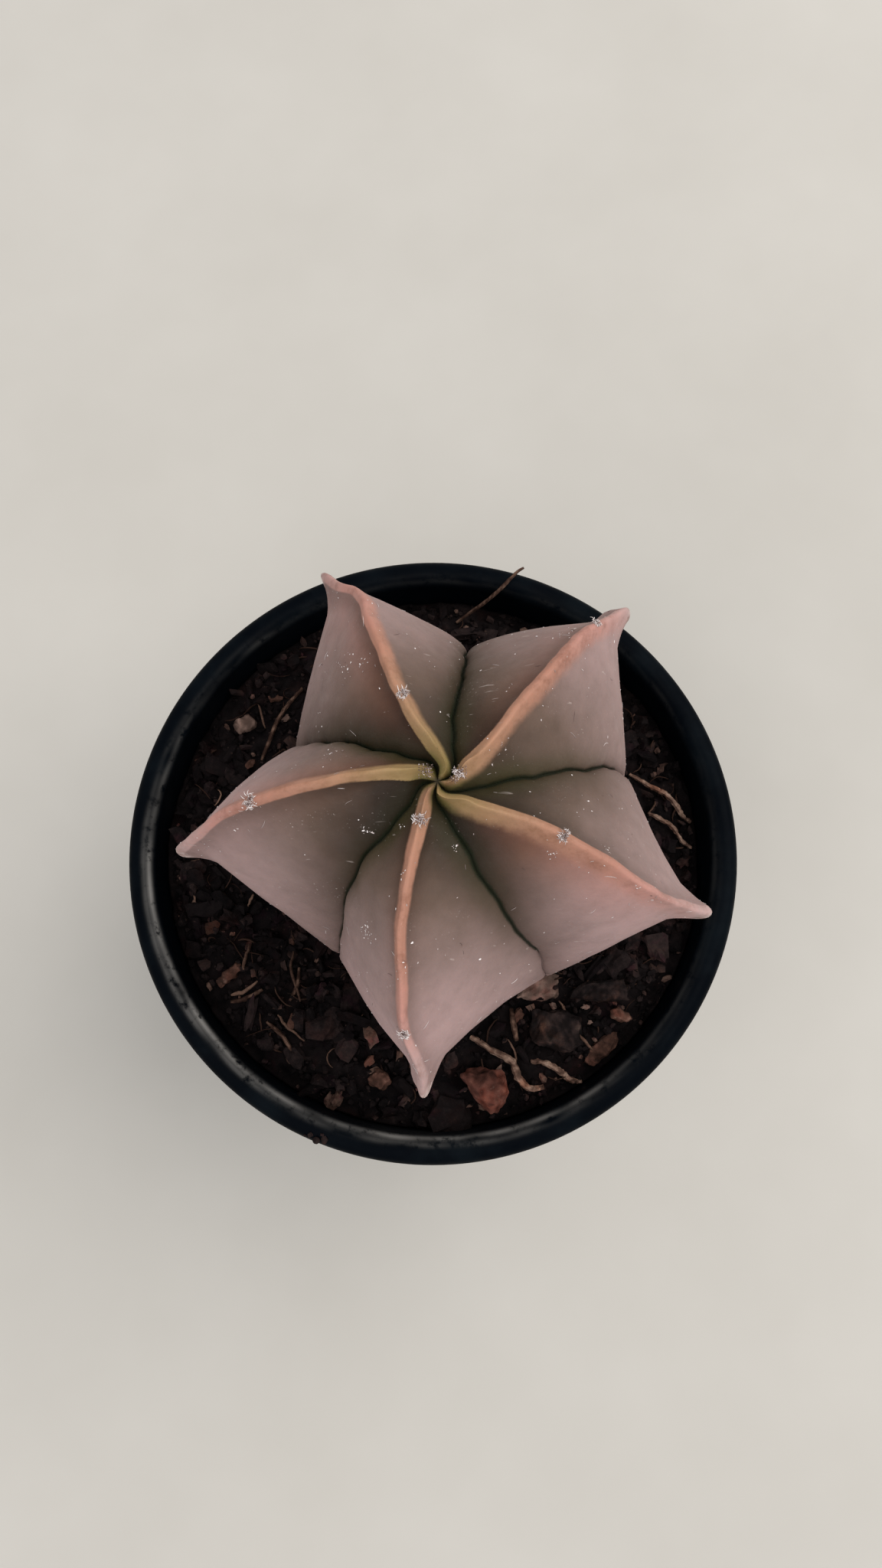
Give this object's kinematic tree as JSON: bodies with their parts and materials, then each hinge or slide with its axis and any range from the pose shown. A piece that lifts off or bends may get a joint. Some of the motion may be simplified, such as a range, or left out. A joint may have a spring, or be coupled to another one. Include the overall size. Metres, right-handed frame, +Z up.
{
  "type": "potted bishops cap cactus",
  "caption": "Young spineless star-shaped cactus with sharp ribs, standing in bark and coir soil in a round black nursery pot.",
  "frame": {"origin": "middle of the pot's foot, on the surface that the pot stands on", "axes": "+Z up through the plant, +Y towards the top of the picture, +X to its right"},
  "size_m": [0.091, 0.091, 0.1186],
  "materials": {
    "pot": "satin",
    "soil": "matte",
    "cactus": "satin",
    "clay": "matte",
    "dark_bark": "matte",
    "pale_bark": "matte",
    "red_bark": "matte",
    "twig": "matte",
    "coir": "matte"
  },
  "bodies": {
    "root": {"pot": "pot", "soil": "soil", "cactus": "cactus", "clay_lump": "clay", "bark_chip_big": "dark_bark", "bark_chip_long": "dark_bark", "bark_chip_pale": "pale_bark", "bark_chip_left": "pale_bark", "bark_chip_smooth": "red_bark", "bark_chip_reddish": "red_bark", "bark_chip_bar": "red_bark", "bark_chip_rust": "red_bark", "twig_forked": "twig", "twig_lower": "twig", "twig_right_upper": "twig", "twig_right_lower": "twig", "strand_left": "coir", "strand_over_lip": "coir", "strand_low_left": "coir", "strand_left_curved": "coir", "strand_upright": "coir", "strand_dark": "coir"}
  },
  "joints": []
}
